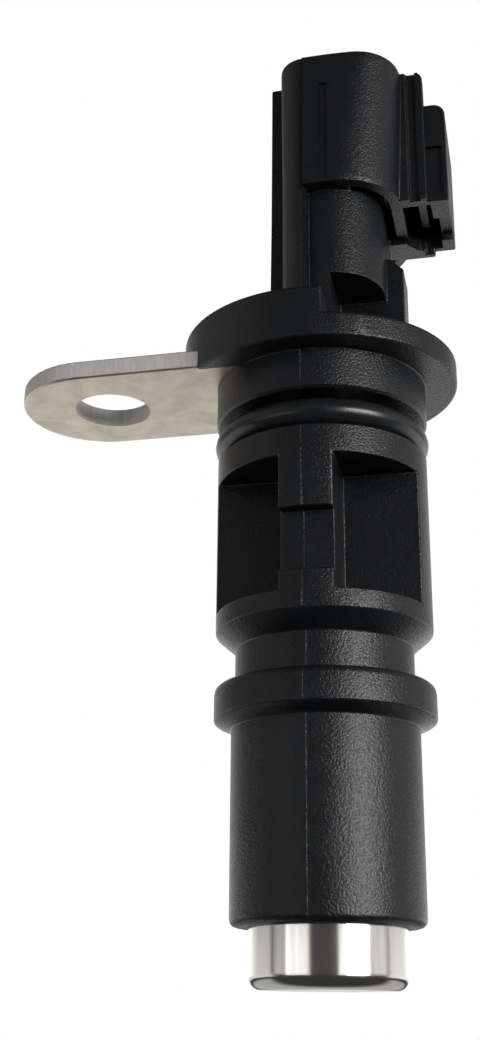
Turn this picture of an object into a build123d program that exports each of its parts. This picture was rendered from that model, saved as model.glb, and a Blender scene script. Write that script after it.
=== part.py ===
from build123d import *
import os

os.makedirs("parts", exist_ok=True)

# Sizes are in millimetres. Z is the sensor's axis with the connector up, and Z = 0 is the
# underside of the flange. The bracket points to -X.

# Sensor body below the flange
NECK_R = 9.35
LAND_R = 9.2
GLAND_R = 7.02
GLAND_TOP = -3.65
GLAND_BOTTOM = -6.8
POCKET_TOP = -9.4
RING_A_TOP = -21.0
RING_A_BOTTOM = -22.6
WAIST_R = 7.52
WAIST_TOP = -24.05
RING_B_R = 9.26
RING_B_TOP = -27.2
RING_B_BOTTOM = -30.05
BARREL_R = 7.83
BARREL_TOP = -30.7
BARREL_BOTTOM = -46.3
WEB_HALF = 3.07
RIB_HALF = 2.25
RIB_STEP_TOP = -14.1
RIB_STEP_BOTTOM = -19.4
RIB_STEP_FACE = 7.95

# Flange, slightly oval
FLANGE_X = -0.1
FLANGE_HALF_X = 12.3
FLANGE_HALF_Y = 11.6
FLANGE_TOP = 2.3
SECTOR_TOP = 4.8
SECTOR_END_X = 1.85
BOSS = (9.9, 9.8, 0.3)

# Stem between flange and connector
STEM_LEFT_X = -2.3
RAIL_R = 2.3
STEM_FRONT_Y = 8.4
COLUMN_X = 1.75
COLUMN_R = 4.65
COLUMN_END_Y = 3.1
RECESS_TOP = 7.95
RECESS_X = 2.15
WING_HALF = 1.85
WING_X = 8.0
WING_TOP = 12.25
WING_CHAMFER = 1.2
GUIDE_X = -3.6
GUIDE_HALF = 4.87

# Connector shroud, socket and latch channel
SHROUD_BOTTOM = 16.45
SHROUD_TOP = 30.25
SHROUD_GROW = 0.55
HOOD_Y = 9.05
HOOD_LOW_X = 8.25
HOOD_LOW_R = 5.8
HOOD_HIGH_X = 8.6
HOOD_HIGH_R = 4.3
RIDGE_X = 1.35
RIDGE_Y = 9.2
GROOVE = (1.5, 2.2, 16.9, 27.0)
SKIRT_WALL = 1.0
SKIRT_ROOF = 18.4
SOCKET_FLOOR = 19.7
SOCKET_LEFT_X = -1.45
SOCKET_RIGHT_X = 7.35
SOCKET_HALF_Y = 7.4
LATCH_NEAR_Y = -4.67
LATCH_FAR_Y = 4.8
LATCH_WALL = 1.24
LATCH_IN_X = 10.8
LATCH_OUT_X = 12.5
LATCH_TOP = 26.85
LATCH_FAR_BOTTOM = 15.95
LATCH_EDGE = 0.55

# Bracket
PLATE_Z = 0.25
PLATE_T = 1.7
PLATE_HALF = 7.2
PLATE_END_X = -20.85
HOLE_X = -19.7
HOLE_R = 3.5
EYE_OUT_R = 8.9
EYE_IN_R = 6.0

# Seal ring
RING_SECTION = 2.4
RING_MID_R = GLAND_R + RING_SECTION / 2
RING_Z = -5.5

# Metal cup
CUP_R = 6.28
CUP_WALL = 0.45
CUP_BOTTOM = -50.95
CUP_TOP = -40.3
CUP_LIP_R = 6.9

# Inner carrier and electronics
CARRIER_R = 5.2
CARRIER_TOP = 0.5
CARRIER_BAR_X = 4.4
CARRIER_BAR_Y = 2.2
CARRIER_BAR_END = -24.6
CARRIER_END = -48.3
CARRIER_FOOT_R = CUP_R - CUP_WALL - 0.03
MAGNET_R = 3.15
MAGNET_TOP = -42.3
MAGNET_BOTTOM = -47.3
CHIP_SIZE = (5.2, 4.0, 1.5)
CHIP_TOP = -48.4
STRIP_Y = -1.2
STRIP_W = 1.2
STRIP_T = 0.5
STRIP_END = -38.5
LEAD_W = 0.45
LEAD_T = 0.25
LEAD_Y = -4.4
BLADE_X = 2.95
BLADE_W = 1.5
BLADE_T = 0.64
BLADE_TIP = 26.6

# name, blade Y, strip X, height of the sideways run, sideways run goes along X first
CONDUCTORS = (
    ("supply", 4.2, -1.4, 13.2, True),
    ("signal", 0.0, 0.2, 11.2, False),
    ("ground", -4.2, 1.8, 9.2, False),
)


def block(x0, x1, y0, y1, z0, z1):
    """Box between two corners."""
    centre = Pos((x0 + x1) / 2, (y0 + y1) / 2, (z0 + z1) / 2)
    return centre * Box(abs(x1 - x0), abs(y1 - y0), abs(z1 - z0))


def disc(radius, z0, z1):
    """Solid cylinder on the axis between two heights."""
    return Pos(0, 0, (z0 + z1) / 2) * Cylinder(radius, abs(z1 - z0))


def turned(points):
    """Solid of revolution about Z from (radius, height) points."""
    outline = Polyline([(r, 0, z) for r, z in points], close=True)
    return revolve(make_face(outline), Axis.Z)


def prism(face, z0, z1):
    """A face in the XY plane pushed from one height to another."""
    return extrude(Pos(0, 0, z0) * face, z1 - z0, dir=(0, 0, 1))


def soften(solid, z, radius, axis=Axis.Z):
    """Round every edge of a solid that lies in the plane at height z."""
    edges = solid.edges().filter_by(
        lambda e: abs(e.bounding_box().min.Z - z) < 1e-3 and abs(e.bounding_box().max.Z - z) < 1e-3
    )
    return fillet(edges, radius)


# The housing is built from a turned body, a flange, a stem, a shroud and a latch channel.


def turned_body():
    """Neck, seal gland, full-diameter section, two guide rings, waist and barrel."""
    edge = 0.2
    points = [
        (0, 1.0),
        (NECK_R, 1.0),
        (NECK_R, GLAND_TOP + edge),
        (NECK_R - edge, GLAND_TOP),
        (GLAND_R, GLAND_TOP),
        (GLAND_R, GLAND_BOTTOM),
        (LAND_R - edge, GLAND_BOTTOM),
        (LAND_R, GLAND_BOTTOM - edge),
        (LAND_R, RING_A_BOTTOM),
        (WAIST_R, WAIST_TOP),
        (WAIST_R, RING_B_TOP),
        (RING_B_R - 0.65, RING_B_TOP),
        (RING_B_R - 0.28, RING_B_TOP - 0.1),
        (RING_B_R - 0.08, RING_B_TOP - 0.32),
        (RING_B_R, RING_B_TOP - 0.7),
        (RING_B_R, RING_B_BOTTOM),
        (BARREL_R, BARREL_TOP),
        (BARREL_R, BARREL_BOTTOM + 0.6),
        (BARREL_R - 0.08, BARREL_BOTTOM + 0.3),
        (BARREL_R - 0.28, BARREL_BOTTOM + 0.09),
        (BARREL_R - 0.6, BARREL_BOTTOM),
        (0, BARREL_BOTTOM),
    ]
    return turned(points)


def cruciform(body):
    """Cut the four pockets that leave a web along X and a rib along Y."""
    for sx in (-1, 1):
        for sy in (-1, 1):
            body -= block(sx * RIB_HALF, sx * 12, sy * WEB_HALF, sy * 12, POCKET_TOP, RING_A_TOP)
    for sy in (-1, 1):
        body -= block(-RIB_HALF, RIB_HALF, sy * RIB_STEP_FACE, sy * 12, RIB_STEP_TOP, RIB_STEP_BOTTOM)
    return body


def flange():
    """Low oval on the right, a taller sector of it on the left, and a low boss round the neck."""
    outline = Ellipse(FLANGE_HALF_X, FLANGE_HALF_Y)
    low = soften(prism(outline, 0, FLANGE_TOP), FLANGE_TOP, 0.4)
    low = Pos(FLANGE_X, 0, 0) * soften(low, 0, 0.25)
    tall = soften(prism(outline, 0, SECTOR_TOP), SECTOR_TOP, 0.45)
    tall = Pos(FLANGE_X, 0, 0) * soften(tall, 0, 0.25)
    tall &= block(-20, SECTOR_END_X, -20, 20, -1, 20)
    half_x, half_y, height = BOSS
    return low + tall + prism(Ellipse(half_x, half_y), 0, height)


def corner_face(x0, x1, half_y, r_left, r_right):
    """Rectangle from x0 to x1, symmetric in Y, with its own radius at each end."""
    face = Pos((x0 + x1) / 2, 0) * Rectangle(x1 - x0, 2 * half_y)
    left = [v for v in face.vertices() if v.X < (x0 + x1) / 2]
    right = [v for v in face.vertices() if v.X > (x0 + x1) / 2]
    if r_left > 0:
        face = fillet(left, r_left)
    if r_right > 0:
        right = [v for v in face.vertices() if v.X > x1 - 1e-3]
        face = fillet(right, r_right)
    return face


def column_face(radius=COLUMN_R):
    """Stadium section of the stem's column."""
    ends = Pos(COLUMN_X, -COLUMN_END_Y) * Circle(radius)
    ends += Pos(COLUMN_X, COLUMN_END_Y) * Circle(radius)
    return ends + Pos(COLUMN_X, 0) * Rectangle(2 * radius, 2 * COLUMN_END_Y)


def socket_face():
    """Section of the socket that takes the mating plug."""
    return corner_face(SOCKET_LEFT_X, SOCKET_RIGHT_X, SOCKET_HALF_Y, 1.6, 3.8)


def stem():
    """Column, flush left-hand rail, side guide and right-hand wing."""
    left = corner_face(STEM_LEFT_X, 0.25, STEM_FRONT_Y, RAIL_R, 0)
    solid = prism(left, 1.0, SHROUD_BOTTOM + 1)
    solid += prism(column_face(), 1.0, SHROUD_BOTTOM + 3)
    for sy in (-1, 1):
        solid -= block(RECESS_X, 9, sy * WING_HALF, sy * 9, FLANGE_TOP, RECESS_TOP)
    wing = block(3, WING_X, -WING_HALF, WING_HALF, 1.0, WING_TOP)
    tip = wing.edges().filter_by(Axis.Y).sort_by(Axis.X)[-2:].sort_by(Axis.Z)[-1:]
    solid += chamfer(tip, WING_CHAMFER)
    guide = block(GUIDE_X, STEM_LEFT_X + 0.6, -GUIDE_HALF, GUIDE_HALF, 1.0, SHROUD_TOP - 0.2)
    return solid + guide


def shroud():
    """Socket walls, widening slightly towards the rim, with a short hollow skirt below."""
    left_low = Pos(0, 0, SHROUD_BOTTOM) * corner_face(STEM_LEFT_X, 4, STEM_FRONT_Y, RAIL_R, 0)
    left_high = Pos(0, 0, SHROUD_TOP) * corner_face(
        STEM_LEFT_X, 4, STEM_FRONT_Y + SHROUD_GROW, RAIL_R, 0
    )
    left = soften(loft([left_low, left_high], ruled=True), SHROUD_TOP, 0.35)
    hood_low = Pos(0, 0, SHROUD_BOTTOM) * corner_face(0, HOOD_LOW_X, HOOD_Y, 0, HOOD_LOW_R)
    hood_high = Pos(0, 0, SHROUD_TOP) * corner_face(0, HOOD_HIGH_X, HOOD_Y, 0, HOOD_HIGH_R)
    hood = loft([hood_low, hood_high], ruled=True)
    rim = hood.faces().sort_by(Axis.Z)[-1].edges().filter_by(lambda e: e.center().X > 0.01)
    hood = chamfer(rim, 0.25)
    w = SKIRT_WALL
    skirt_face = corner_face(0, HOOD_LOW_X - w, HOOD_Y - w, 0, HOOD_LOW_R - w)
    skirt = prism(skirt_face, SHROUD_BOTTOM - 1, SKIRT_ROOF)
    hood -= skirt - prism(column_face(), SHROUD_BOTTOM - 2, SKIRT_ROOF + 1)
    ridge = block(0.02, RIDGE_X, -RIDGE_Y, RIDGE_Y, SHROUD_BOTTOM, SHROUD_TOP)
    ridge = soften(ridge, SHROUD_TOP, 0.35)
    ridge -= block(-1, 3, -HOOD_Y + 0.6, HOOD_Y - 0.6, SHROUD_BOTTOM - 1, SHROUD_TOP + 1)
    hood += ridge
    x0, x1, z0, z1 = GROOVE
    for sy in (-1, 1):
        hood -= block(x0, x1, sy * (HOOD_Y - 0.22), sy * 10, z0, z1)
    return left + hood


def latch_walls():
    """Two upright walls beside the channel: the near one is grooved, the far one thins below."""
    z0 = SHROUD_BOTTOM
    low = LATCH_FAR_BOTTOM
    near = block(7.2, 10.6, LATCH_NEAR_Y, LATCH_NEAR_Y + LATCH_WALL, z0, SHROUD_TOP)
    far = block(7.2, 10.6, LATCH_FAR_Y - LATCH_WALL, LATCH_FAR_Y, low, SHROUD_TOP)
    walls = []
    for wall in (near, far):
        crown = wall.edges().filter_by(Axis.Y).sort_by(Axis.Z)[-2:].sort_by(Axis.X)[-1:]
        walls.append(fillet(crown, 0.8))
    near, far = walls
    near -= block(9.05, 9.9, LATCH_NEAR_Y - 1, LATCH_NEAR_Y + 0.35, z0 - 1, SHROUD_TOP + 1)
    corner = Polyline([(7.4, 2.3), (8.2, 2.3), (9.6, 3.9), (7.4, 3.9)], close=True)
    return near + far + prism(make_face(corner), low, z0 + 9)


def latch_plate():
    """Outer plate that closes the channel, set in on its near face and at its foot."""
    z0 = SHROUD_BOTTOM
    plate = block(LATCH_IN_X, LATCH_OUT_X, -4.05, LATCH_FAR_Y, z0, LATCH_TOP)
    plate += block(10.2, LATCH_OUT_X, LATCH_FAR_Y - LATCH_WALL, LATCH_FAR_Y, z0, LATCH_TOP)
    plate += block(10.2, LATCH_OUT_X, -4.05, LATCH_NEAR_Y + LATCH_WALL, z0, LATCH_TOP)
    crown = plate.edges().filter_by(Axis.Y).filter_by(
        lambda e: e.center().X > LATCH_OUT_X - 1e-3 and e.center().Z > LATCH_TOP - 1e-3
    )
    plate = fillet(crown, 1.1)
    plate -= block(LATCH_IN_X - 1, 11.3, -1.0, LATCH_FAR_Y - LATCH_WALL, z0 - 1, LATCH_TOP + 1)
    plate -= block(LATCH_IN_X - 1, LATCH_OUT_X + 1, -1.0, 2.7, z0 - 1, z0 + 0.6)
    return plate - block(10.65, 12.05, -6, -3.75, z0 + 0.6, 22.25)


def latch_channel():
    """Open-ended channel on the right that the mating plug's latch runs in."""
    z0 = SHROUD_BOTTOM
    solid = latch_walls() + latch_plate()
    solid += block(9.5, 10.35, LATCH_NEAR_Y + LATCH_WALL - 0.1, 2.2, z0 + 1.2, z0 + 7.5)
    low = LATCH_FAR_BOTTOM
    inner_y = LATCH_FAR_Y - LATCH_WALL
    edge_y = LATCH_FAR_Y - LATCH_EDGE
    wedge = Polyline(
        [
            (inner_y - 0.2, low - 1),
            (edge_y, low - 1),
            (edge_y, low),
            (inner_y, z0 + 2.2),
            (inner_y - 0.2, z0 + 2.2),
        ],
        close=True,
    )
    solid -= Pos(9.7, 0, 0) * extrude(Plane.YZ * make_face(wedge), 11.3 - 9.7)
    return solid + block(5.0, 8.1, WING_HALF, LATCH_FAR_Y - 0.2, low, z0 + 2.2)


def mounting_bracket():
    """Stamped plate with the bolt hole; its eye is moulded into the flange."""
    half = PLATE_HALF
    top = PLATE_Z + PLATE_T
    middle = PLATE_Z + PLATE_T / 2
    plate = Pos(PLATE_END_X, 0, middle) * Cylinder(half, PLATE_T)
    plate += block(PLATE_END_X, -5.6, -half, half, PLATE_Z, top)
    rim = plate.edges().filter_by(lambda e: e.center().X < PLATE_END_X + 8 and e.length > 3)
    plate = fillet(rim, 0.22)
    plate -= Pos(HOLE_X, 0, middle) * Cylinder(HOLE_R, 3 * PLATE_T)
    plate += disc(EYE_OUT_R, PLATE_Z, top)
    return plate - disc(EYE_IN_R, -1, top + 1)


def o_ring():
    """Seal ring sitting on the gland's floor."""
    return Pos(0, 0, RING_Z) * Torus(RING_MID_R, RING_SECTION / 2)


def tip_cap():
    """Deep-drawn cup with a turned-out lip that the barrel is moulded over."""
    r = CUP_R
    w = CUP_WALL
    points = [
        (0, CUP_BOTTOM),
        (r - 0.95, CUP_BOTTOM),
        (r - 0.55, CUP_BOTTOM + 0.1),
        (r - 0.23, CUP_BOTTOM + 0.32),
        (r - 0.05, CUP_BOTTOM + 0.62),
        (r, CUP_BOTTOM + 0.98),
        (r, CUP_TOP - 0.5),
        (CUP_LIP_R, CUP_TOP - 0.25),
        (CUP_LIP_R, CUP_TOP),
        (r - w, CUP_TOP),
        (r - w, CUP_BOTTOM + 1.0),
        (r - 0.95, CUP_BOTTOM + w),
        (0, CUP_BOTTOM + w),
    ]
    return turned(points)


def terminal(blade_y, strip_x, run_z, x_first):
    """One stamped strip: blade in the socket, sideways run, long leg down the carrier."""
    bt = BLADE_T / 2
    bw = BLADE_W / 2
    st = STRIP_T / 2
    sw = STRIP_W / 2
    blade = block(BLADE_X - bt, BLADE_X + bt, blade_y - bw, blade_y + bw, run_z, BLADE_TIP)
    tips = blade.edges().filter_by(lambda e: abs(e.center().Z - BLADE_TIP) < 1e-3)
    solid = chamfer(tips, 0.22)
    z0 = run_z - 0.6
    if x_first:
        solid += block(strip_x - sw, BLADE_X + bt, blade_y - bw, blade_y + bw, z0, run_z)
        solid += block(strip_x - sw, strip_x + sw, STRIP_Y - st, blade_y + bw, z0, run_z)
    else:
        solid += block(BLADE_X - bt, BLADE_X + bt, blade_y - bw, max(STRIP_Y + st, blade_y + bw), z0, run_z)
        if blade_y > STRIP_Y:
            solid += block(BLADE_X - bt, BLADE_X + bt, STRIP_Y - st, blade_y + bw, z0, run_z)
        solid += block(strip_x - sw, BLADE_X + bt, STRIP_Y - st, STRIP_Y + st, z0, run_z)
    solid += block(strip_x - sw, strip_x + sw, STRIP_Y - st, STRIP_Y + st, STRIP_END, run_z)
    return solid


def chip_lead(strip_x):
    """Leg of the Hall package, past the magnet and back under the end of its strip."""
    w = LEAD_W / 2
    t = LEAD_T / 2
    x = strip_x * 0.8
    mid = CHIP_TOP - CHIP_SIZE[2] / 2
    solid = block(x - w, x + w, LEAD_Y, -CHIP_SIZE[1] / 2, mid - t, mid + t)
    solid += block(x - w, x + w, LEAD_Y - t, LEAD_Y + t, mid - t, STRIP_END - 0.25)
    solid += block(x - w, x + w, LEAD_Y - t, STRIP_Y, STRIP_END - 0.25, STRIP_END)
    return solid


def hall_chip():
    """Hall element's moulded package, flat behind the floor of the cup."""
    x, y, z = CHIP_SIZE
    solid = block(-x / 2, x / 2, -y / 2, y / 2, CHIP_TOP - z, CHIP_TOP)
    return chamfer(solid.edges().filter_by(Axis.Z), 0.3)


def capacitor(x0, z0):
    """Chip capacitor lying across two neighbouring strips."""
    y0 = STRIP_Y + STRIP_T / 2
    return block(x0, x0 + 2.0, y0, y0 + 0.9, z0, z0 + 1.25)


conductors = {}
leads = {}
for name, blade_y, strip_x, run_z, x_first in CONDUCTORS:
    conductors[name] = terminal(blade_y, strip_x, run_z, x_first)
    leads[name] = chip_lead(strip_x)

capacitors = {"supply": capacitor(-1.9, -32.0), "signal": capacitor(-0.1, -28.0)}
magnet = disc(MAGNET_R, MAGNET_BOTTOM, MAGNET_TOP)
pole = disc(MAGNET_R, CARRIER_END, MAGNET_BOTTOM)
chip = hall_chip()
cup = tip_cap()
bracket = mounting_bracket()

# The carrier is moulded around everything it holds: a flat bar above, round below.
bx = CARRIER_BAR_X
by = CARRIER_BAR_Y
carrier = block(-bx, bx, -by, by, CARRIER_BAR_END, CARRIER_TOP)
carrier += disc(CARRIER_R, CUP_TOP, CARRIER_BAR_END)
carrier_space = carrier + disc(CUP_R, BARREL_BOTTOM - 1, CUP_TOP)
carrier += disc(CARRIER_FOOT_R, CARRIER_END, CUP_TOP)
for piece in [*conductors.values(), *leads.values(), *capacitors.values(), magnet, pole]:
    carrier -= piece

# Resin fills the cup below the carrier.
potting = disc(CUP_R - 0.98, CUP_BOTTOM + CUP_WALL, CARRIER_END)
potting -= chip
for piece in leads.values():
    potting -= piece

# The housing is moulded last, over the carrier, the strips, the cup's lip and the bracket.
housing = cruciform(turned_body()) + flange() + stem() + shroud() + latch_channel()
housing -= prism(socket_face(), SOCKET_FLOOR, SHROUD_TOP + 1)
housing -= carrier_space
housing -= cup
housing -= bracket
for piece in conductors.values():
    housing -= piece

nodes = {
    "housing": housing,
    "mounting_bracket": bracket,
    "o_ring": o_ring(),
    "tip_cap": cup,
    "carrier": carrier,
    "hall_chip": chip,
    "bias_magnet": magnet,
    "pole_piece": pole,
    "cap_potting": potting,
}
for name, solid in conductors.items():
    nodes["terminal_" + name] = solid
for name, solid in leads.items():
    nodes["chip_lead_" + name] = solid
for name, solid in capacitors.items():
    nodes["capacitor_" + name] = solid

for name, solid in nodes.items():
    export_step(solid, "parts/" + name + ".step")
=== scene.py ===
# %% [markdown]
# # A camshaft position sensor, dressed for its picture
# The sensor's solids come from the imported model, in metres and in their real places.
# This script copies the shapes that show, rounds their moulded and stamped edges, gives
# every piece the finish of its real material, and sets up a white studio and the camera.
# Blender's Z is up: the connector points up and the metal tip points down.

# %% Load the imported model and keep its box
import math

import bpy
from mathutils import Matrix, Vector
from mathutils.bvhtree import BVHTree
from mathutils.kdtree import KDTree


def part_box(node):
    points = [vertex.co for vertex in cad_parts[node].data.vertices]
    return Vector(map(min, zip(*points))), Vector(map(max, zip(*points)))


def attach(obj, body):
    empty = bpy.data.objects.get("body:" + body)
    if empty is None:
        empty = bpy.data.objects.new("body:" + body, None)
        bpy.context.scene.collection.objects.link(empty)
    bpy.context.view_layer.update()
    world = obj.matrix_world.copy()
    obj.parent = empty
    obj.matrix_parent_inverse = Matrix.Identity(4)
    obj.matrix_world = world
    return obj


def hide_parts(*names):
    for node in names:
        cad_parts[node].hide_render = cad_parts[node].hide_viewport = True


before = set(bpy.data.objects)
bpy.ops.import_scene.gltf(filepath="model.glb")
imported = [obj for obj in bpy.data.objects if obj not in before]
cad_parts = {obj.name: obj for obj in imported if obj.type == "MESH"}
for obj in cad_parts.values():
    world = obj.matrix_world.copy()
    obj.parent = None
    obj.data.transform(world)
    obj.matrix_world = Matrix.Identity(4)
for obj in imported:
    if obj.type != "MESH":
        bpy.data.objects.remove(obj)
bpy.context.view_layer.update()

MM = 0.001
scene = bpy.context.scene
print("solids:", ", ".join(sorted(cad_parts)))

# %% [markdown]
# Colours are written as the hex values that a colour picker shows. Blender's shaders work
# with linear light, so one function turns a hex value into linear numbers. A second small
# function adds a shader node with its settings and links, so that each material below
# reads as a list of steps.


# %% Helpers for colours and shader nodes
def linear(hex_colour):
    """Linear colour for a shader from an sRGB hex value."""
    values = [int(hex_colour[i : i + 2], 16) / 255 for i in (1, 3, 5)]
    turned = [v / 12.92 if v <= 0.04045 else ((v + 0.055) / 1.055) ** 2.4 for v in values]
    return (*turned, 1.0)


def add_node(tree, kind, inputs=None, **settings):
    """Add one shader node, set its settings, and fill or link its inputs."""
    node = tree.nodes.new(kind)
    for name, value in settings.items():
        setattr(node, name, value)
    for name, value in (inputs or {}).items():
        if isinstance(value, bpy.types.NodeSocket):
            tree.links.new(value, node.inputs[name])
        else:
            node.inputs[name].default_value = value
    return node


def new_material(name):
    """An empty node material and its tree."""
    material = bpy.data.materials.new(name)
    material.use_nodes = True
    material.node_tree.nodes.clear()
    return material, material.node_tree


def per_metre(size_mm):
    """Noise scale whose features are about this many millimetres wide."""
    return 1 / (size_mm * MM)


print("a mid grey, #808080, is", round(linear("#808080")[0], 3), "in linear light")

# %% [markdown]
# **The housing** is nylon filled with short glass fibre, moulded black against an eroded
# steel mould. Nylon has an IOR of 1.53. The eroded mould leaves a grain of about a fifth
# of a millimetre, which breaks the sheen into small sparks, and the fibres near the skin
# change the gloss a little from place to place. Two noises in Object coordinates do this:
# a fine one drives the bump and the gloss, and a wide one drives the tone.


# %% Black glass-filled nylon
def moulded_nylon():
    """Bluish black, satin, with a fine eroded grain."""
    material, tree = new_material("black_glass_filled_nylon")
    place = add_node(tree, "ShaderNodeTexCoord").outputs["Object"]
    grain = add_node(tree, "ShaderNodeTexNoise",
                     {"Vector": place, "Scale": per_metre(0.2), "Detail": 2.0, "Roughness": 0.6})
    cloud = add_node(tree, "ShaderNodeTexNoise",
                     {"Vector": place, "Scale": per_metre(2.4), "Detail": 3.0, "Roughness": 0.6})
    tone = add_node(tree, "ShaderNodeValToRGB", {"Fac": cloud.outputs["Fac"]})
    tone.color_ramp.elements[0].position = 0.3
    tone.color_ramp.elements[0].color = linear("#0e1013")
    tone.color_ramp.elements[1].position = 0.75
    tone.color_ramp.elements[1].color = linear("#14171b")
    gloss = add_node(tree, "ShaderNodeMapRange",
                     {"Value": grain.outputs["Fac"], "From Min": 0.3, "From Max": 0.7,
                      "To Min": 0.28, "To Max": 0.4})
    bump = add_node(tree, "ShaderNodeBump",
                    {"Height": grain.outputs["Fac"], "Strength": 0.6, "Distance": 0.1 * MM})
    skin = add_node(tree, "ShaderNodeBsdfPrincipled",
                    {"Base Color": tone.outputs["Color"], "Roughness": gloss.outputs["Result"],
                     "IOR": 1.53, "Normal": bump.outputs["Normal"]})
    add_node(tree, "ShaderNodeOutputMaterial", {"Surface": skin.outputs["BSDF"]})
    return material


nylon = moulded_nylon()
print("made", nylon.name)

# %% [markdown]
# **The seal ring** is black nitrile rubber, pressed in a polished mould and wiped with a
# little oil. Its skin is smoother than the nylon beside it, so its highlight is a narrow
# line. Patches of fine dust, about a millimetre wide, break the gloss.


# %% Black nitrile rubber
def nitrile_rubber():
    """Smooth black rubber with a thin film of oil."""
    material, tree = new_material("oiled_black_nitrile_rubber")
    place = add_node(tree, "ShaderNodeTexCoord").outputs["Object"]
    dust = add_node(tree, "ShaderNodeTexNoise",
                    {"Vector": place, "Scale": per_metre(1.1), "Detail": 4.0, "Roughness": 0.6})
    gloss = add_node(tree, "ShaderNodeMapRange",
                     {"Value": dust.outputs["Fac"], "From Min": 0.3, "From Max": 0.7,
                      "To Min": 0.24, "To Max": 0.34})
    skin = add_node(tree, "ShaderNodeBsdfPrincipled",
                    {"Base Color": linear("#1c1e20"), "Roughness": gloss.outputs["Result"],
                     "IOR": 1.52})
    add_node(tree, "ShaderNodeOutputMaterial", {"Surface": skin.outputs["BSDF"]})
    return material


rubber = nitrile_rubber()
print("made", rubber.name)

# %% [markdown]
# **The bracket** is low-carbon steel strip. Its rolled faces are satin and faintly stained,
# a warm grey. Its rim was sheared by the press, which leaves a duller and paler band with
# fine tear marks across its thickness. Torn metal scatters light to all sides, almost as
# paint does, so the rim gets a low Metallic value. They are two materials on one piece.


# %% Rolled steel face and sheared steel edge
def rolled_steel():
    """Satin rolled face with soft stains a few millimetres wide."""
    material, tree = new_material("rolled_low_carbon_steel")
    place = add_node(tree, "ShaderNodeTexCoord").outputs["Object"]
    stain = add_node(tree, "ShaderNodeTexNoise",
                     {"Vector": place, "Scale": per_metre(4.0), "Detail": 5.0, "Roughness": 0.62,
                      "Distortion": 0.6})
    tone = add_node(tree, "ShaderNodeValToRGB", {"Fac": stain.outputs["Fac"]})
    tone.color_ramp.elements[0].position = 0.32
    tone.color_ramp.elements[0].color = linear("#b3a797")
    tone.color_ramp.elements[1].position = 0.68
    tone.color_ramp.elements[1].color = linear("#e8decf")
    fine = add_node(tree, "ShaderNodeTexNoise",
                    {"Vector": place, "Scale": per_metre(0.35), "Detail": 3.0, "Roughness": 0.6})
    gloss = add_node(tree, "ShaderNodeMapRange",
                     {"Value": stain.outputs["Fac"], "From Min": 0.3, "From Max": 0.7,
                      "To Min": 0.34, "To Max": 0.46})
    bump = add_node(tree, "ShaderNodeBump",
                    {"Height": fine.outputs["Fac"], "Strength": 0.3, "Distance": 0.04 * MM})
    skin = add_node(tree, "ShaderNodeBsdfPrincipled",
                    {"Base Color": tone.outputs["Color"], "Metallic": 1.0,
                     "Roughness": gloss.outputs["Result"], "Normal": bump.outputs["Normal"]})
    add_node(tree, "ShaderNodeOutputMaterial", {"Surface": skin.outputs["BSDF"]})
    return material


def sheared_steel():
    """Dull torn edge: the tear marks run up the thickness and are about 0.3 mm apart."""
    material, tree = new_material("sheared_steel_edge")
    place = add_node(tree, "ShaderNodeTexCoord").outputs["Object"]
    along = add_node(tree, "ShaderNodeMapping", {"Vector": place, "Scale": (1.0, 1.0, 0.12)})
    tear = add_node(tree, "ShaderNodeTexNoise",
                    {"Vector": along.outputs["Vector"], "Scale": per_metre(0.3), "Detail": 3.0,
                     "Roughness": 0.6})
    tone = add_node(tree, "ShaderNodeValToRGB", {"Fac": tear.outputs["Fac"]})
    tone.color_ramp.elements[0].position = 0.3
    tone.color_ramp.elements[0].color = linear("#dcd5d1")
    tone.color_ramp.elements[1].position = 0.7
    tone.color_ramp.elements[1].color = linear("#f0eae6")
    bump = add_node(tree, "ShaderNodeBump",
                    {"Height": tear.outputs["Fac"], "Strength": 0.35, "Distance": 0.05 * MM})
    skin = add_node(tree, "ShaderNodeBsdfPrincipled",
                    {"Base Color": tone.outputs["Color"], "Metallic": 0.3, "Roughness": 0.58,
                     "Normal": bump.outputs["Normal"]})
    add_node(tree, "ShaderNodeOutputMaterial", {"Surface": skin.outputs["BSDF"]})
    return material


steel_face = rolled_steel()
steel_edge = sheared_steel()
print("made", steel_face.name, "and", steel_edge.name)

# %% [markdown]
# **The tip cap** is a cup drawn from bright stainless steel. Drawing leaves very fine marks
# up its wall, so the reflections are clear but soft at their sides. The marks are a noise
# stretched along Z.


# %% Bright drawn stainless steel
def drawn_stainless():
    """Bright steel with draw marks 0.4 mm apart that run up the wall."""
    material, tree = new_material("bright_drawn_stainless_steel")
    place = add_node(tree, "ShaderNodeTexCoord").outputs["Object"]
    along = add_node(tree, "ShaderNodeMapping", {"Vector": place, "Scale": (1.0, 1.0, 0.05)})
    marks = add_node(tree, "ShaderNodeTexNoise",
                     {"Vector": along.outputs["Vector"], "Scale": per_metre(0.4), "Detail": 2.0,
                      "Roughness": 0.5})
    gloss = add_node(tree, "ShaderNodeMapRange",
                     {"Value": marks.outputs["Fac"], "From Min": 0.3, "From Max": 0.7,
                      "To Min": 0.12, "To Max": 0.18})
    skin = add_node(tree, "ShaderNodeBsdfPrincipled",
                    {"Base Color": linear("#d2cfca"), "Metallic": 1.0,
                     "Roughness": gloss.outputs["Result"]})
    add_node(tree, "ShaderNodeOutputMaterial", {"Surface": skin.outputs["BSDF"]})
    return material


stainless = drawn_stainless()
print("made", stainless.name)

# %% [markdown]
# **The pieces inside** are seen only when the model is cut or taken apart. Each is still
# given the finish of its real material. They differ in colour, grain and gloss, and not in
# kind, so one function takes those values: a noise of the given grain in millimetres drives
# the tone, the gloss and a small bump.


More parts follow.
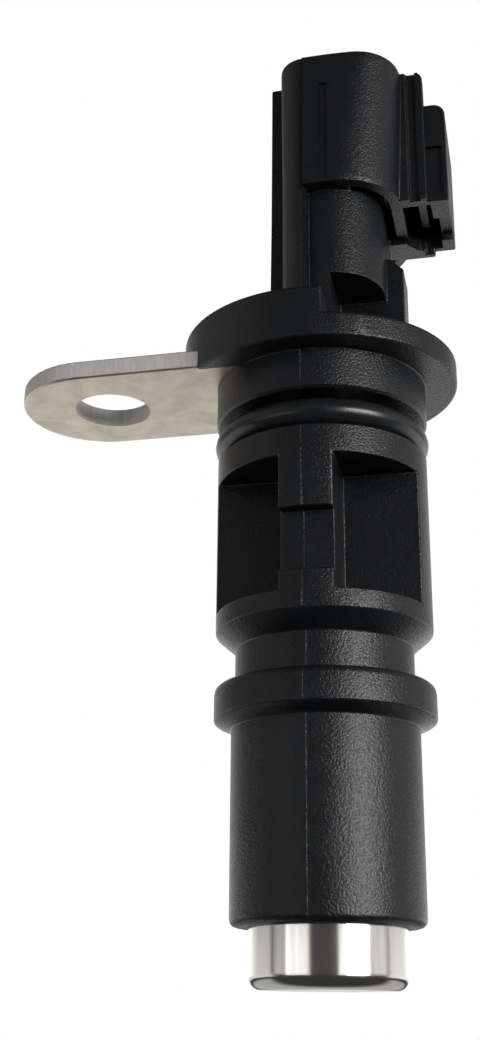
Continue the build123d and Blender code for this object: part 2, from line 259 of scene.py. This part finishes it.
# %% Finishes of the inner pieces
def grained(name, dark, pale, grain_mm, gloss_range, bump_mm, metallic=0.0):
    """A material whose tone, gloss and bump follow one grain."""
    material, tree = new_material(name)
    place = add_node(tree, "ShaderNodeTexCoord").outputs["Object"]
    grain = add_node(tree, "ShaderNodeTexNoise",
                     {"Vector": place, "Scale": per_metre(grain_mm), "Detail": 3.0,
                      "Roughness": 0.6})
    tone = add_node(tree, "ShaderNodeValToRGB", {"Fac": grain.outputs["Fac"]})
    tone.color_ramp.elements[0].position = 0.3
    tone.color_ramp.elements[0].color = linear(dark)
    tone.color_ramp.elements[1].position = 0.7
    tone.color_ramp.elements[1].color = linear(pale)
    gloss = add_node(tree, "ShaderNodeMapRange",
                     {"Value": grain.outputs["Fac"], "From Min": 0.3, "From Max": 0.7,
                      "To Min": gloss_range[0], "To Max": gloss_range[1]})
    bump = add_node(tree, "ShaderNodeBump",
                    {"Height": grain.outputs["Fac"], "Strength": 0.4, "Distance": bump_mm * MM})
    skin = add_node(tree, "ShaderNodeBsdfPrincipled",
                    {"Base Color": tone.outputs["Color"], "Metallic": metallic,
                     "Roughness": gloss.outputs["Result"], "Normal": bump.outputs["Normal"]})
    add_node(tree, "ShaderNodeOutputMaterial", {"Surface": skin.outputs["BSDF"]})
    return material


# Polyester moulded for the carrier is matt. The chip's package is epoxy filled with silica.
carrier_polyester = grained("matt_black_polyester", "#2b2b2e", "#35353a", 0.3, (0.5, 0.65), 0.03)
chip_epoxy = grained("silica_filled_epoxy", "#222222", "#2b2b2a", 0.08, (0.55, 0.7), 0.01)
# A sintered magnet is ground: dark grey metal with a fine porous grain.
sintered_magnet = grained("ground_sintered_magnet", "#515157", "#5f6066", 0.12, (0.4, 0.55), 0.01,
                          metallic=0.8)
soft_iron = grained("ground_soft_iron", "#a9aaab", "#b7b7b9", 0.15, (0.3, 0.4), 0.005, metallic=1.0)
# Potting resin is brown epoxy that sets with a glossy skin.
cured_resin = grained("cured_potting_resin", "#382c20", "#463828", 1.5, (0.12, 0.22), 0.01)
# Tin is electroplated on bronze strip and on the copper leads, bright with a soft haze.
tinned_strip = grained("tinned_bronze_strip", "#c5c0b6", "#d8d3ca", 0.5, (0.22, 0.32), 0.004,
                       metallic=1.0)
tinned_lead = grained("tinned_copper_lead", "#c6c3bd", "#d6d3ce", 0.3, (0.25, 0.35), 0.004,
                      metallic=1.0)
fired_ceramic = grained("fired_capacitor_ceramic", "#a58862", "#b89a72", 0.1, (0.5, 0.6), 0.005)
inner_finishes = {
    "carrier": carrier_polyester,
    "hall_chip": chip_epoxy,
    "bias_magnet": sintered_magnet,
    "pole_piece": soft_iron,
    "cap_potting": cured_resin,
    "chip_lead_supply": tinned_lead,
    "chip_lead_signal": tinned_lead,
    "chip_lead_ground": tinned_lead,
    "capacitor_supply": fired_ceramic,
    "capacitor_signal": fired_ceramic,
}
for node_name, finish in inner_finishes.items():
    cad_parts[node_name].data.materials.clear()
    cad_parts[node_name].data.materials.append(finish)
print("finished", len(inner_finishes), "inner solids")

# %% [markdown]
# Modelling by hand is always the same few moves: select one piece and nothing else, go into
# edit mode, pick points by their place, use a tool on them, and finish with a modifier.
# Three small helpers do those moves in code.


# %% Helpers to select and to finish
def only(piece):
    """Select one piece and nothing else."""
    if bpy.context.object and bpy.context.object.mode != "OBJECT":
        bpy.ops.object.mode_set(mode="OBJECT")
    bpy.ops.object.select_all(action="DESELECT")
    piece.select_set(True)
    bpy.context.view_layer.objects.active = piece


def finish_with(piece, kind, **settings):
    """Add a modifier with its settings and apply it."""
    only(piece)
    modifier = piece.modifiers.new(kind.lower(), kind)
    for name, value in settings.items():
        setattr(modifier, name, value)
    bpy.ops.object.modifier_apply(modifier=modifier.name)


def pick_vertices(piece, test):
    """Go into edit mode with only the vertices selected whose place passes the test."""
    only(piece)
    bpy.ops.object.mode_set(mode="EDIT")
    bpy.ops.mesh.select_mode(type="VERT")
    bpy.ops.mesh.select_all(action="DESELECT")
    bpy.ops.object.mode_set(mode="OBJECT")
    found = 0
    for vertex in piece.data.vertices:
        vertex.select = test(vertex.co)
        found += vertex.select
    bpy.ops.object.mode_set(mode="EDIT")
    return found


print("helpers to select and to finish are ready")

# %% [markdown]
# **From a solid to a piece.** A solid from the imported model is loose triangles. The shapes
# that show are copied, the triangles' corners are merged, and triangles in one plane are
# dissolved into whole faces, so that a bevel finds real edges. A finished piece is shaded
# smooth, except across its corners, and then stands for the solid that it was copied from.

# %% Helpers to copy a solid and to let the copy stand for it
MERGE_WITHIN = 0.02 * MM
FLAT_WITHIN = math.radians(0.5)
CORNER_ANGLE = 32.0
BIG_FACES_FIRST = 80


def smooth(piece, angle=CORNER_ANGLE):
    """Smooth shading with sharp corners kept, and flat faces kept flat beside a bevel."""
    only(piece)
    bpy.ops.object.shade_smooth_by_angle(angle=math.radians(angle))
    finish_with(piece, "WEIGHTED_NORMAL", keep_sharp=True, weight=BIG_FACES_FIRST)


def stand_for(piece, node_name, slot_name, *finishes):
    """Give a piece its finish and let it replace its solid."""
    piece.data.materials.clear()
    for finish in finishes:
        piece.data.materials.append(finish)
    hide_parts(node_name)
    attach(piece, "root")
    print(piece.name, "has", len(piece.data.polygons), "faces")


def merged_copy(node_name, piece_name):
    """Copy a solid and merge its triangles into whole faces."""
    piece = bpy.data.objects.new(piece_name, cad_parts[node_name].data.copy())
    scene.collection.objects.link(piece)
    only(piece)
    bpy.ops.object.mode_set(mode="EDIT")
    bpy.ops.mesh.select_all(action="SELECT")
    bpy.ops.mesh.customdata_custom_splitnormals_clear()
    bpy.ops.mesh.remove_doubles(threshold=MERGE_WITHIN)
    bpy.ops.mesh.dissolve_limited(angle_limit=FLAT_WITHIN)
    bpy.ops.object.mode_set(mode="OBJECT")
    return piece


print("helpers to copy solids are ready")

# %% [markdown]
# **Rounded edges.** No moulded or stamped edge is quite sharp: each has a small radius that
# catches the light as a thin line, and a Bevel modifier gives it. A bevel needs room. Where
# another edge runs closer than about twice its width, the two bevels would overlap and turn
# faces over, so such edges get a weight of 0. To find them, points are set along every sharp
# edge and each looks for a neighbour beside it. A bevel can also throw a point off the
# surface where very short edges meet: each point is measured against the shape as it was
# before, and the few strays are dissolved.

# %% Helpers to round the edges
SHARP_FROM = math.radians(30)
MARK_STEP = 0.12 * MM
ROOM_IN_WIDTHS = 2.3
BESIDE_SHARE = 0.6
STRAY_SHARE = 0.5


def weigh_sharp_edges(piece, edge_mm):
    """Give bevel weight 1 to each sharp edge that has room beside it, and 0 to the others."""
    mesh = piece.data
    only(piece)
    bpy.ops.object.mode_set(mode="EDIT")
    bpy.ops.mesh.select_mode(type="EDGE")
    bpy.ops.mesh.select_all(action="DESELECT")
    bpy.ops.mesh.edges_select_sharp(sharpness=SHARP_FROM)
    bpy.ops.object.mode_set(mode="OBJECT")
    marks = []
    for edge in mesh.edges:
        if edge.select:
            start, end = (mesh.vertices[i].co for i in edge.vertices)
            count = max(2, int((end - start).length / MARK_STEP) + 1)
            for i in range(count + 1):
                marks.append((start.lerp(end, i / count), (end - start).normalized(), edge))
    places = KDTree(len(marks))
    for i, mark in enumerate(marks):
        places.insert(mark[0], i)
    places.balance()
    tight = set()
    for point, along, edge in marks:
        for near, i, distance in places.find_range(point, ROOM_IN_WIDTHS * edge_mm * MM):
            gap = near - point
            sideways = (gap - along * gap.dot(along)).length
            beside = sideways > BESIDE_SHARE * distance > 0
            if beside and not set(edge.vertices) & set(marks[i][2].vertices):
                tight.add(edge.index)
                break
    weight = mesh.attributes.new("bevel_weight_edge", "FLOAT", "EDGE")
    for edge in mesh.edges:
        weight.data[edge.index].value = float(edge.select and edge.index not in tight)
    return len(tight)


def round_edges(piece, edge_mm, segments=2):
    """Bevel the corners that have room, and dissolve the points that end up off the surface."""
    mesh = piece.data
    before = BVHTree.FromPolygons([v.co for v in mesh.vertices],
                                  [f.vertices for f in mesh.polygons])
    tight = weigh_sharp_edges(piece, edge_mm)
    finish_with(piece, "BEVEL", width=edge_mm * MM, segments=segments, limit_method="WEIGHT",
                use_clamp_overlap=False)
    limit = STRAY_SHARE * edge_mm * MM
    strays = pick_vertices(piece, lambda co: before.find_nearest(co)[3] > limit)
    if strays:
        bpy.ops.mesh.dissolve_verts()
    bpy.ops.object.mode_set(mode="OBJECT")
    print(piece.name, "rounded by", edge_mm, "mm:", tight, "edges too tight,", strays, "strays")


print("helpers to round the edges are ready")

# %% [markdown]
# **The housing, open under the bracket.** The moulding covers the bracket's eye from above
# and leaves its underside bare up to the neck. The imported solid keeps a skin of 0.25 mm
# there, so it is cut away with a Boolean: the cutter is a flat block over the bracket's
# width, less a cylinder that is a hair wider than the neck. The cut comes before the
# bevel, because a Boolean wants a plain closed shape.

# %% Housing, and the cut under the bracket
PLATE_LOW = Vector(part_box("mounting_bracket")[0])
PLATE_HALF = 7.2 * MM
NECK_R = 9.35 * MM
NECK_GAP = 0.02 * MM
CUT_LENGTH = 12 * MM
CUT_MIDDLE_X = -11 * MM
CUT_BELOW_SEAT = 0.3 * MM
CORE_DEPTH = 4 * MM
ROUND_SIDES = 192
HOUSING_EDGE_MM = 0.14

housing = merged_copy("housing", "moulded_housing")
bpy.ops.object.select_all(action="DESELECT")
bpy.ops.mesh.primitive_cube_add(size=1.0)
cutter = bpy.context.object
cutter.scale = (CUT_LENGTH, 2 * PLATE_HALF, PLATE_LOW.z + CUT_BELOW_SEAT)
cutter.location = (CUT_MIDDLE_X, 0, (PLATE_LOW.z - CUT_BELOW_SEAT) / 2)
bpy.ops.object.transform_apply(location=True, scale=True)
bpy.ops.object.select_all(action="DESELECT")
bpy.ops.mesh.primitive_cylinder_add(vertices=ROUND_SIDES, radius=NECK_R + NECK_GAP,
                                    depth=CORE_DEPTH)
core = bpy.context.object
finish_with(cutter, "BOOLEAN", object=core, operation="DIFFERENCE", solver="EXACT")
finish_with(housing, "BOOLEAN", object=cutter, operation="DIFFERENCE", solver="EXACT")
for helper in (cutter, core):
    bpy.data.objects.remove(helper, do_unlink=True)
print("housing after the cut:", len(housing.data.polygons), "faces")
round_edges(housing, HOUSING_EDGE_MM, segments=3)

# %% [markdown]
# **The housing's flash line.** The two halves of the mould meet in a plane across the
# sensor, and they leave a raised line, about 0.04 mm high, down the front and the back of
# the body. Three cuts beside each other with Bisect give the line its two feet and its
# crest, and the crest is then moved outwards. It is left off inside the pockets.

# %% Flash line
PARTING_X = -0.3 * MM
FLASH_HALF_WIDTH = 0.09 * MM
FLASH_HEIGHT = 0.04 * MM
BODY_FRONT = 7.0 * MM
FLANGE_RIM = 11.3 * MM
ON_LINE = 0.001 * MM
CUT_TOLERANCE = 1e-7

for offset in (-FLASH_HALF_WIDTH, 0, FLASH_HALF_WIDTH):
    only(housing)
    bpy.ops.object.mode_set(mode="EDIT")
    bpy.ops.mesh.select_all(action="SELECT")
    bpy.ops.mesh.bisect(plane_co=(PARTING_X + offset, 0, 0), plane_no=(1, 0, 0),
                        threshold=CUT_TOLERANCE)
    bpy.ops.object.mode_set(mode="OBJECT")
for side in (-1, 1):
    crest = pick_vertices(
        housing,
        lambda co: abs(co.x - PARTING_X) < ON_LINE and BODY_FRONT < side * co.y < FLANGE_RIM,
    )
    bpy.ops.transform.translate(value=(0, side * FLASH_HEIGHT, 0))
    bpy.ops.object.mode_set(mode="OBJECT")
    print("flash line on side", side, "has", crest, "points")
smooth(housing)
stand_for(housing, "housing", "housing_plastic", nylon)

# %% [markdown]
# **The bracket** is blanked and pierced in a press. The solid already has the rims that the
# tool rolls over as it enters. The faces that look sideways were sheared, and get the
# second finish: a face whose normal has little height looks sideways.

# %% Bracket
SIDEWAYS_BELOW = 0.35
BRACKET_CORNER_ANGLE = 40.0

bracket = merged_copy("mounting_bracket", "stamped_bracket")
smooth(bracket, BRACKET_CORNER_ANGLE)
stand_for(bracket, "mounting_bracket", "bracket_steel", steel_face, steel_edge)
sheared = 0
for face in bracket.data.polygons:
    face.material_index = int(abs(face.normal.z) < SIDEWAYS_BELOW)
    sheared += face.material_index
print("sheared faces:", sheared)

# %% [markdown]
# **The seal ring** starts as a torus with enough segments to look round from close by. The
# two halves of its mould leave a hair of rubber round its widest circle, which is picked
# by its place and moved out.

# %% Seal ring
RING_LOW, RING_HIGH = (Vector(corner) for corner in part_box("o_ring"))
RING_SECTION_R = (RING_HIGH.z - RING_LOW.z) / 2
RING_OUTER_R = RING_HIGH.x
RING_MIDDLE_R = RING_OUTER_R - RING_SECTION_R
RING_Z = (RING_LOW.z + RING_HIGH.z) / 2
RING_FLASH = 0.02 * MM
RING_CORNER_ANGLE = 60.0

bpy.ops.object.select_all(action="DESELECT")
bpy.ops.mesh.primitive_torus_add(major_segments=240, minor_segments=48,
                                 major_radius=RING_MIDDLE_R, minor_radius=RING_SECTION_R,
                                 location=(0, 0, RING_Z))
ring = bpy.context.object
ring.name = "rubber_seal_ring"
bpy.ops.object.transform_apply(location=True)
pick_vertices(ring, lambda co: co.xy.length > RING_OUTER_R - ON_LINE)
grow = 1 + RING_FLASH / RING_OUTER_R
bpy.ops.transform.resize(value=(grow, grow, 1), center_override=(0, 0, RING_Z))
smooth(ring, RING_CORNER_ANGLE)
stand_for(ring, "o_ring", "seal_rubber", rubber)

# %% [markdown]
# **The tip cap** is drawn up as a ring that is extruded step by step, like the wall of a pot:
# across the floor, round the corner, up the wall to the lip that the barrel grips, and down
# inside again. The corner is an arc worked out by a formula, because a mirror-like surface
# shows every flat on it. A ring close to each end of the arc keeps the flats flat. Both
# ends are closed with a face.

# %% Tip cap
CUP_LOW, CUP_HIGH = (Vector(corner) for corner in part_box("tip_cap"))
LIP_R = CUP_HIGH.x
LIP_OVERHANG = 0.62 * MM
LIP_HEIGHT = 0.25 * MM
FLARE_BELOW_TOP = 0.5 * MM
CUP_R = LIP_R - LIP_OVERHANG
CUP_WALL = 0.45 * MM
CORNER_R = 1.0 * MM
CORNER_STEPS = 12
BESIDE_CORNER = 0.2 * MM
POLE_R = 0.3 * MM
CAP_CORNER_ANGLE = 40.0


def arc(centre_r, centre_z, radius, steps):
    """Points of a quarter circle from straight down to straight out."""
    turns = [math.pi / 2 * i / steps for i in range(steps + 1)]
    return [(centre_r + radius * math.sin(t), centre_z - radius * math.cos(t)) for t in turns]


corner_z = CUP_LOW.z + CORNER_R
outside = arc(CUP_R - CORNER_R, corner_z, CORNER_R, CORNER_STEPS)
inside = arc(CUP_R - CORNER_R, corner_z, CORNER_R - CUP_WALL, CORNER_STEPS)
profile = [
    (CUP_R - CORNER_R - BESIDE_CORNER, CUP_LOW.z),
    *outside,
    (CUP_R, corner_z + BESIDE_CORNER),
    (CUP_R, CUP_HIGH.z - FLARE_BELOW_TOP),
    (LIP_R, CUP_HIGH.z - LIP_HEIGHT),
    (LIP_R, CUP_HIGH.z),
    (CUP_R - CUP_WALL, CUP_HIGH.z),
    *reversed(inside),
    (POLE_R, CUP_LOW.z + CUP_WALL),
]

bpy.ops.object.select_all(action="DESELECT")
bpy.ops.mesh.primitive_circle_add(vertices=ROUND_SIDES, radius=POLE_R, fill_type="NGON",
                                  location=(0, 0, CUP_LOW.z))
cap = bpy.context.object
cap.name = "steel_tip_cap"
bpy.ops.object.transform_apply(location=True)
pick_vertices(cap, lambda co: True)
bpy.ops.mesh.select_mode(type="EDGE")
last_r, last_z = POLE_R, CUP_LOW.z
for next_r, next_z in profile:
    bpy.ops.mesh.extrude_edges_move(TRANSFORM_OT_translate={"value": (0, 0, next_z - last_z)})
    reach = next_r / last_r
    bpy.ops.transform.resize(value=(reach, reach, 1), center_override=(0, 0, next_z))
    last_r, last_z = next_r, next_z
bpy.ops.mesh.edge_face_add()
bpy.ops.mesh.select_all(action="SELECT")
bpy.ops.mesh.normals_make_consistent(inside=False)
smooth(cap, CAP_CORNER_ANGLE)
stand_for(cap, "tip_cap", "cap_steel", stainless)

# %% [markdown]
# **The terminals** are stamped from thin bronze strip. Only the three blades show, deep in
# the socket. A bevel of 0.05 mm takes the hardness off their edges.

# %% Terminals
TERMINAL_EDGE_MM = 0.05

for way in ("supply", "signal", "ground"):
    terminal = merged_copy("terminal_" + way, "blade_terminal_" + way)
    round_edges(terminal, TERMINAL_EDGE_MM)
    smooth(terminal)
    stand_for(terminal, "terminal_" + way, "terminal_metal", tinned_strip)

# %% [markdown]
# **The studio.** A black part on a white ground is lit from beside and behind: the white
# ground wraps bright lines round its outline, and its front stays dark because the room in
# front of it is dark. The light of such a room is described by direction. Each row below
# is one part of it: how bright it is, and between which limits it fades in along the ways
# away from the camera, to its right, to its left and up. The rows are added together. On
# the floor the limits are metres from the sensor's axis, and in the room they are parts of
# a direction that is 1 long.

# %% The ways of the studio
CAMERA_HEADING = 12.75
UP = Vector((0, 0, 1))
turn = math.radians(CAMERA_HEADING)
AWAY = Vector((-math.sin(turn), math.cos(turn), 0))
RIGHT = Vector((math.cos(turn), math.sin(turn), 0))
WAYS = {"away": AWAY, "right": RIGHT, "left": -RIGHT, "up": UP}
FLOOR_Z = -60 * MM
print("the camera looks along", [round(v, 3) for v in AWAY])


# %% Light by direction
def summed_light(tree, direction, rows, radius=None):
    """Add up rows of (level, fades), where a fade is (way, where it is 0, where it is 1)."""
    total = None
    for level, fades in rows:
        product = level
        for way, start, end in fades:
            if way == "radius":
                along = radius
            else:
                dot = add_node(tree, "ShaderNodeVectorMath", {0: direction, 1: WAYS[way]},
                               operation="DOT_PRODUCT")
                along = dot.outputs["Value"]
            fade = add_node(tree, "ShaderNodeMapRange",
                            {"Value": along, "From Min": start, "From Max": end},
                            interpolation_type="SMOOTHSTEP")
            both = add_node(tree, "ShaderNodeMath", {0: product, 1: fade.outputs["Result"]},
                            operation="MULTIPLY")
            product = both.outputs[0]
        if total is None:
            total = product
        else:
            both = add_node(tree, "ShaderNodeMath", {0: total, 1: product}, operation="ADD")
            total = both.outputs[0]
    return total


print("light is summed along the ways", ", ".join(WAYS))

# %% [markdown]
# ** The floor** is white paper. Round the sensor it takes the shadow, and it fades to pure white further out. For reflections and bounced light it is not lit paper but a painted glow: white beside and behind the sensor, dark in front of it and close round it as painted shade, and pale right behind the tip as a painted pool of light.

# %% Floor
FLOOR_PAINTED_GLOW_ROWS = (
    # A trace of painted glow everywhere, which is all there is in front of the sensor and close
    # round it, as painted shade.
    (0.05, ()),
    # Painted white glow beside and behind it, fading in from 60 mm outwards.
    (0.9, (("radius", 0.06, 0.11), ("away", -0.03, 0.01))),
    # A painted pool of pale light right behind the tip.
    (0.5, (("radius", 0.045, 0.025), ("away", -0.005, 0.002))),
    # Painted glow, brighter still far out on the right behind it.
    (0.3, (("radius", 0.08, 0.14), ("right", 0.0, 0.06), ("away", 0.0, 0.05))),
)


def studio_paper():
    """White paper that takes the shadow near the sensor and glows white further out. Other rays see
    a painted glow of light and shade on it.
    """
    material, tree = new_material("white_studio_paper")
    place = add_node(tree, "ShaderNodeTexCoord").outputs["Object"]
    flat = add_node(tree, "ShaderNodeVectorMath", {0: place, 1: (1, 1, 0)}, operation="MULTIPLY")
    radius = add_node(tree, "ShaderNodeVectorMath", {0: flat.outputs[0]}, operation="LENGTH")
    level = summed_light(tree, place, FLOOR_PAINTED_GLOW_ROWS, radius.outputs["Value"])
    seen = add_node(tree, "ShaderNodeMapRange",
                    {"Value": radius.outputs["Value"], "From Min": 0.06, "From Max": 0.35,
                     "To Min": 0.55, "To Max": 1.0}, interpolation_type="SMOOTHSTEP")
    ray = add_node(tree, "ShaderNodeLightPath")
    paper = add_node(tree, "ShaderNodeBsdfDiffuse", {"Color": linear("#e6e6e6")})
    white = add_node(tree, "ShaderNodeEmission", {"Color": (1, 1, 1, 1), "Strength": 1.0})
    # To rays other than the camera's the paper is not lit: it glows with painted light and painted
    # shade, set by place.
    painted_glow = add_node(tree, "ShaderNodeEmission", {"Color": (1, 1, 1, 1), "Strength": level})
    view = add_node(tree, "ShaderNodeMixShader",
                    {0: seen.outputs["Result"], 1: paper.outputs[0], 2: white.outputs[0]})
    both = add_node(tree, "ShaderNodeMixShader",
                    {0: ray.outputs["Is Camera Ray"], 1: painted_glow.outputs[0], 2: view.outputs[0]})
    add_node(tree, "ShaderNodeOutputMaterial", {"Surface": both.outputs[0]})
    return material


bpy.ops.object.select_all(action="DESELECT")
bpy.ops.mesh.primitive_plane_add(size=6.0, location=(0, 0, FLOOR_Z))
floor = bpy.context.object
floor.name = "studio_floor"
bpy.ops.object.transform_apply(location=True)
floor.data.materials.append(studio_paper())

# %% [markdown]
# **The world** is the rest of the room. It is pure white where the camera sees it. For the
# light on the sensor it has a dim front, a soft glow high on the left, a fill on the right,
# a white ground behind, and a bright strip along the horizon that the steel cap mirrors.

# %% World
ROOM_ROWS = (
    # A trace of light on all sides.
    (0.05, ()),
    # A dim band all round, a little over 20 degrees up.
    (0.2, (("up", 0.12, 0.36), ("up", 0.52, 0.42))),
    # A soft glow high on the left.
    (0.4, (("left", 0.45, 0.95), ("up", 0.25, 0.6))),
    # A fill on the right.
    (0.3, (("right", 0.2, 1.0),)),
    # The white ground behind, which ends before the ceiling.
    (0.85, (("away", 0.55, 1.0), ("up", 0.95, 0.75))),
    # The strip along the horizon: on both sides in front, behind, and a trace all round.
    (0.75, (("away", -0.6, -0.4), ("away", 0.02, -0.13), ("up", 0.1, 0.05))),
    (0.75, (("away", -0.02, 0.13), ("up", 0.1, 0.05))),
    (0.05, (("up", 0.1, 0.05),)),
)

world = bpy.data.worlds.new("studio_air")
scene.world = world
world.use_nodes = True
tree = world.node_tree
tree.nodes.clear()
direction = add_node(tree, "ShaderNodeTexCoord").outputs["Generated"]
level = summed_light(tree, direction, ROOM_ROWS)
air = add_node(tree, "ShaderNodeBackground", {"Color": (1, 1, 1, 1), "Strength": level})
white = add_node(tree, "ShaderNodeBackground", {"Color": (1, 1, 1, 1), "Strength": 1.0})
ray = add_node(tree, "ShaderNodeLightPath")
mix = add_node(tree, "ShaderNodeMixShader",
               {0: ray.outputs["Is Camera Ray"], 1: air.outputs[0], 2: white.outputs[0]})
add_node(tree, "ShaderNodeOutputWorld", {"Surface": mix.outputs[0]})
print("world ready")

# %% [markdown]
# **The lamps.** The photograph shows one broad highlight down the right of every round
# part. It is strongest on the barrel and fades on the parts higher up, which mirror a
# higher piece of the room. So the lamp is a tall softbox in two panels: a strong one at the
# sensor's own height and a weak one above it. Two small panels stand low on either side of
# the camera, for the steel cap to mirror.

# %% Lamps
BODY_MIDDLE = (0, 0, -0.015)
CAP_MIDDLE = (0, 0, -0.048)


def softbox(name, azimuth, elevation, distance, width, height, radiance, aim=BODY_MIDDLE):
    """A panel round the sensor, facing it. Azimuth 0 is the camera's side, plus is its right."""
    a = math.radians(azimuth)
    e = math.radians(elevation)
    level_way = RIGHT * math.sin(a) - AWAY * math.cos(a)
    outwards = level_way * math.cos(e) + UP * math.sin(e)
    lamp = bpy.data.lights.new(name, "AREA")
    lamp.shape = "RECTANGLE"
    lamp.size = width
    lamp.size_y = height
    lamp.energy = radiance * math.pi * width * height
    holder = bpy.data.objects.new(name, lamp)
    scene.collection.objects.link(holder)
    holder.location = Vector(aim) + outwards * distance
    holder.rotation_euler = (-outwards).to_track_quat("-Z", "Y").to_euler()
    holder.visible_camera = False
    print(name, "power", round(lamp.energy, 2), "W")


softbox("right_panel", azimuth=38, elevation=-8, distance=0.6, width=0.34, height=0.42,
        radiance=13.5)
softbox("right_upper_panel", azimuth=36, elevation=24, distance=0.6, width=0.34, height=0.16,
        radiance=0.2)
softbox("left_low_panel", azimuth=-48, elevation=-1, distance=0.3, width=0.19, height=0.06,
        radiance=1.7, aim=CAP_MIDDLE)
softbox("right_low_panel", azimuth=16, elevation=-1, distance=0.3, width=0.06, height=0.06,
        radiance=1.6, aim=CAP_MIDDLE)

# %% [markdown]
# **The camera** stands low in front of the sensor and looks up at it by 20 degrees, which
# is why the flange shows its underside. Its place and lens were worked out from the
# photograph: from the ovals of the round parts and from how fast the sides draw together.

# %% Camera
LENS_MM = 46.66
SENSOR_WIDTH_MM = 36.0
CAMERA_AT = Vector((17.32, -109.34, -52.93)) * MM
PITCH = 20.29
ROLL = 0.56

pitch = math.radians(PITCH)
roll = math.radians(ROLL)
ahead = AWAY * math.cos(pitch) + UP * math.sin(pitch)
upward = -AWAY * math.sin(pitch) + UP * math.cos(pitch)
side = RIGHT * math.cos(roll) + upward * math.sin(roll)
top = upward * math.cos(roll) - RIGHT * math.sin(roll)
lens = bpy.data.cameras.new("camera")
lens.lens = LENS_MM
lens.sensor_width = SENSOR_WIDTH_MM
lens.sensor_fit = "AUTO"
lens.clip_start = 0.01
lens.clip_end = 20.0
camera = bpy.data.objects.new("camera", lens)
scene.collection.objects.link(camera)
axes = Matrix((side, top, -ahead)).transposed()
camera.matrix_world = Matrix.Translation(CAMERA_AT) @ axes.to_4x4()
scene.camera = camera
scene.view_settings.view_transform = "Standard"
print("camera at", [round(v, 3) for v in CAMERA_AT])
